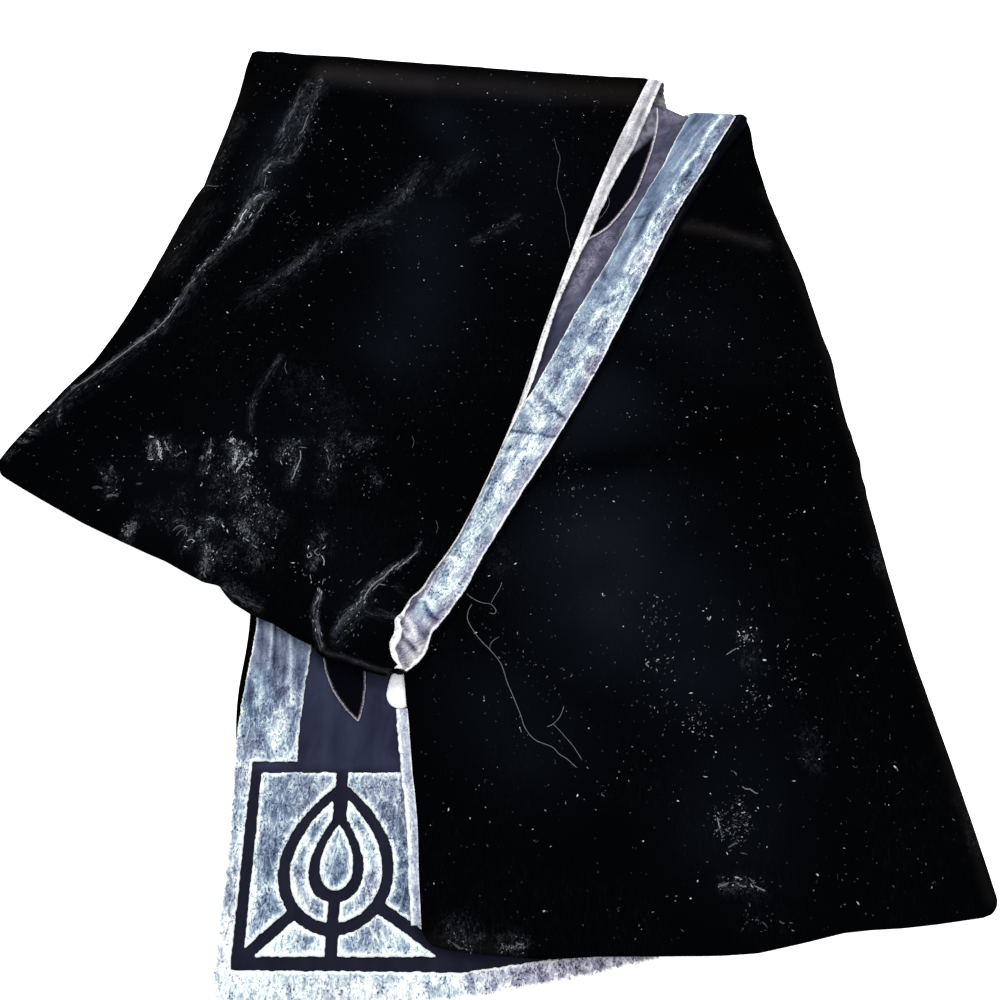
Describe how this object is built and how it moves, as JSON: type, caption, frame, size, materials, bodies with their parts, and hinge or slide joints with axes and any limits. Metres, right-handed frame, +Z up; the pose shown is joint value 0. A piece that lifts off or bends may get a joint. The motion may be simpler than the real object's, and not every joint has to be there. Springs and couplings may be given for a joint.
{
  "type": "folded evening stole",
  "caption": "Long narrow velvet evening stole lined with black velvet, doubled, turned over on itself and laid flat, with silver borders on navy satin.",
  "frame": {"origin": "the middle of the bounding box, on the surface that the stole lies on", "axes": "+X right and +Y away, as seen from the side where both hems lie nearest, +Z up off the surface"},
  "size_m": [0.5107, 0.612, 0.0178],
  "materials": {
    "black_velvet": "deep pile, matt with a faint cool sheen",
    "navy_satin": "smooth woven ground with a soft satin sheen",
    "silver_velvet": "crushed pile, pale where the nap catches the light",
    "label_tape": "plain white woven tape, blank"
  },
  "bodies": {
    "root": {"under_lining": "black_velvet", "under_satin": "navy_satin", "side_border": "silver_velvet", "hem_border": "silver_velvet", "under_leaf": "black_velvet", "drop_heart": "silver_velvet", "drop_ring_left": "silver_velvet", "drop_ring_right": "silver_velvet", "frame_side_left": "silver_velvet", "frame_side_right": "silver_velvet", "frame_foot_left": "silver_velvet", "frame_foot_right": "silver_velvet", "upper_stretch": "black_velvet", "upper_trim": "silver_velvet", "label": "label_tape", "turned_stretch": "navy_satin", "turned_border": "silver_velvet", "turned_piping": "black_velvet", "turned_leaf": "black_velvet", "neck_stretch": "black_velvet", "neck_trim": "silver_velvet"}
  },
  "joints": []
}
